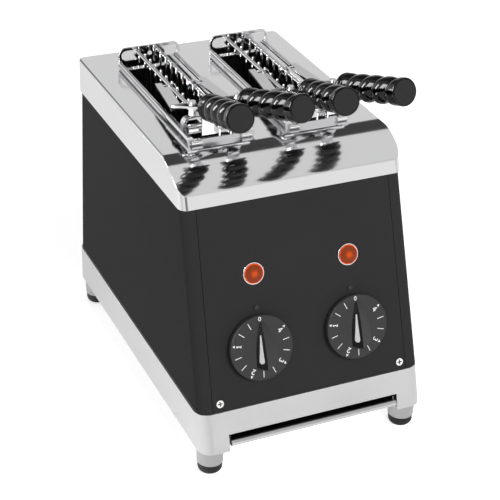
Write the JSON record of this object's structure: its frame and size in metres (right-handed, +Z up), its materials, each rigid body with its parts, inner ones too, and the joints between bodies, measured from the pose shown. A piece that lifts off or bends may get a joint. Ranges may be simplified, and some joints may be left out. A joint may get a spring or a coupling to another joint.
{
  "type": "sandwich_toaster",
  "caption": "Two-slot countertop sandwich toaster with a charcoal leaning front, steel top and base, two dial timers, pilot lamps and sprung lift-out tongs with twisted black grips",
  "frame": {"origin": "centre of the footprint at worktop level", "axes": "+Z up, -Y out of the control front, +X to the right as seen from the front"},
  "size_m": [0.224, 0.345, 0.3545],
  "materials": {
    "satin_steel": "satin stainless sheet",
    "polished_steel": "polished stainless sheet",
    "chrome": "bright plated steel wire and strip",
    "zinc_steel": "zinc plated steel",
    "bright_aluminium": "bright reflector sheet",
    "cast_aluminium": "satin turned aluminium",
    "black_paint": "matt charcoal stove paint on steel sheet",
    "black_plastic": "matt black heatproof plastic",
    "gloss_black_plastic": "gloss black phenolic plastic",
    "orange_plastic": "translucent orange plastic",
    "rubber": "black rubber",
    "ceramic": "unglazed steatite",
    "quartz_glass": "frosted quartz glass"
  },
  "bodies": {
    "toaster": {"base_frame": "satin_steel", "tray_runners": "zinc_steel", "feet": "cast_aluminium", "foot_pads": "rubber", "foot_screws": "zinc_steel", "casing": "black_paint", "front_panel": "black_paint", "rear_panel": "black_paint", "top_cover": "polished_steel", "panel_screws": "zinc_steel", "rear_screws": "zinc_steel", "front_bulkhead": "zinc_steel", "rear_bulkhead": "zinc_steel", "reflectors": "bright_aluminium", "quartz_tubes": "quartz_glass", "element_caps": "ceramic", "slot_guards": "chrome", "left_timer": "zinc_steel", "right_timer": "zinc_steel", "lamp_bezels": "chrome", "lamp_lenses": "orange_plastic", "setting_marks": "black_paint", "cable_gland": "black_plastic", "terminal_block": "ceramic"},
    "tray": {"crumb_tray": "satin_steel"},
    "left_dial": {"left_shaft": "satin_steel", "left_knob": "black_plastic", "left_knob_insert": "satin_steel"},
    "left_tong": {"left_tong_rails": "chrome", "left_tong_rear_bracket": "chrome", "left_tong_front_bracket": "chrome", "left_tong_barrel": "chrome", "left_tong_pivot_pins": "chrome", "left_tong_spring": "chrome"},
    "left_tong_left_arm": {"left_tong_left_lever": "chrome", "left_tong_left_grip": "gloss_black_plastic"},
    "left_tong_left_side": {"left_tong_left_rod": "chrome", "left_tong_left_jaw": "chrome"},
    "left_tong_right_arm": {"left_tong_right_lever": "chrome", "left_tong_right_grip": "gloss_black_plastic"},
    "left_tong_right_side": {"left_tong_right_rod": "chrome", "left_tong_right_jaw": "chrome"},
    "right_dial": {"right_shaft": "satin_steel", "right_knob": "black_plastic", "right_knob_insert": "satin_steel"},
    "right_tong": {"right_tong_rails": "chrome", "right_tong_rear_bracket": "chrome", "right_tong_front_bracket": "chrome", "right_tong_barrel": "chrome", "right_tong_pivot_pins": "chrome", "right_tong_spring": "chrome"},
    "right_tong_left_arm": {"right_tong_left_lever": "chrome", "right_tong_left_grip": "gloss_black_plastic"},
    "right_tong_left_side": {"right_tong_left_rod": "chrome", "right_tong_left_jaw": "chrome"},
    "right_tong_right_arm": {"right_tong_right_lever": "chrome", "right_tong_right_grip": "gloss_black_plastic"},
    "right_tong_right_side": {"right_tong_right_rod": "chrome", "right_tong_right_jaw": "chrome"}
  },
  "joints": [
    {"name": "tray_slide", "type": "slide", "parent": "toaster", "child": "tray", "axis": [0, -1, 0], "range_m": [0, 0.25]},
    {"name": "left_dial_turn", "type": "hinge", "parent": "toaster", "child": "left_dial", "pos_m": [-0.0474, -0.14383, 0.113], "axis": [0, 0.9537, -0.3007], "range_deg": [0, 305]},
    {"name": "left_tong_lift", "type": "slide", "parent": "toaster", "child": "left_tong", "axis": [0, 0, 1], "range_m": [0, 0.2]},
    {"name": "left_tong_left_squeeze", "type": "hinge", "parent": "left_tong", "child": "left_tong_left_arm", "pos_m": [-0.069, -0.0345, 0.2975], "axis": [0, 0, 1], "range_deg": [0, 7], "stiffness_Nm_per_rad": 2, "deforming": ["left_tong_spring"]},
    {"name": "left_tong_left_open", "type": "slide", "parent": "left_tong", "child": "left_tong_left_side", "axis": [-1, 0, 0], "range_m": [0, 0.00971]},
    {"name": "left_tong_right_squeeze", "type": "hinge", "parent": "left_tong", "child": "left_tong_right_arm", "pos_m": [-0.026, -0.0345, 0.2975], "axis": [0, 0, 1], "range_deg": [-7, 0]},
    {"name": "left_tong_right_open", "type": "slide", "parent": "left_tong", "child": "left_tong_right_side", "axis": [1, 0, 0], "range_m": [0, 0.00971]},
    {"name": "right_dial_turn", "type": "hinge", "parent": "toaster", "child": "right_dial", "pos_m": [0.0474, -0.14383, 0.113], "axis": [0, 0.9537, -0.3007], "range_deg": [0, 305]},
    {"name": "right_tong_lift", "type": "slide", "parent": "toaster", "child": "right_tong", "axis": [0, 0, 1], "range_m": [0, 0.2]},
    {"name": "right_tong_left_squeeze", "type": "hinge", "parent": "right_tong", "child": "right_tong_left_arm", "pos_m": [0.026, -0.0345, 0.2975], "axis": [0, 0, 1], "range_deg": [0, 7], "stiffness_Nm_per_rad": 2, "deforming": ["right_tong_spring"]},
    {"name": "right_tong_left_open", "type": "slide", "parent": "right_tong", "child": "right_tong_left_side", "axis": [-1, 0, 0], "range_m": [0, 0.00971]},
    {"name": "right_tong_right_squeeze", "type": "hinge", "parent": "right_tong", "child": "right_tong_right_arm", "pos_m": [0.069, -0.0345, 0.2975], "axis": [0, 0, 1], "range_deg": [-7, 0]},
    {"name": "right_tong_right_open", "type": "slide", "parent": "right_tong", "child": "right_tong_right_side", "axis": [1, 0, 0], "range_m": [0, 0.00971]}
  ],
  "couplings": [
    {"joint": "left_tong_right_squeeze", "follows": "left_tong_left_squeeze", "ratio": -1},
    {"joint": "left_tong_left_open", "follows": "left_tong_left_squeeze", "m_per_rad": 0.079475},
    {"joint": "left_tong_right_open", "follows": "left_tong_left_squeeze", "m_per_rad": 0.079475},
    {"joint": "right_tong_right_squeeze", "follows": "right_tong_left_squeeze", "ratio": -1},
    {"joint": "right_tong_left_open", "follows": "right_tong_left_squeeze", "m_per_rad": 0.079475},
    {"joint": "right_tong_right_open", "follows": "right_tong_left_squeeze", "m_per_rad": 0.079475}
  ]
}
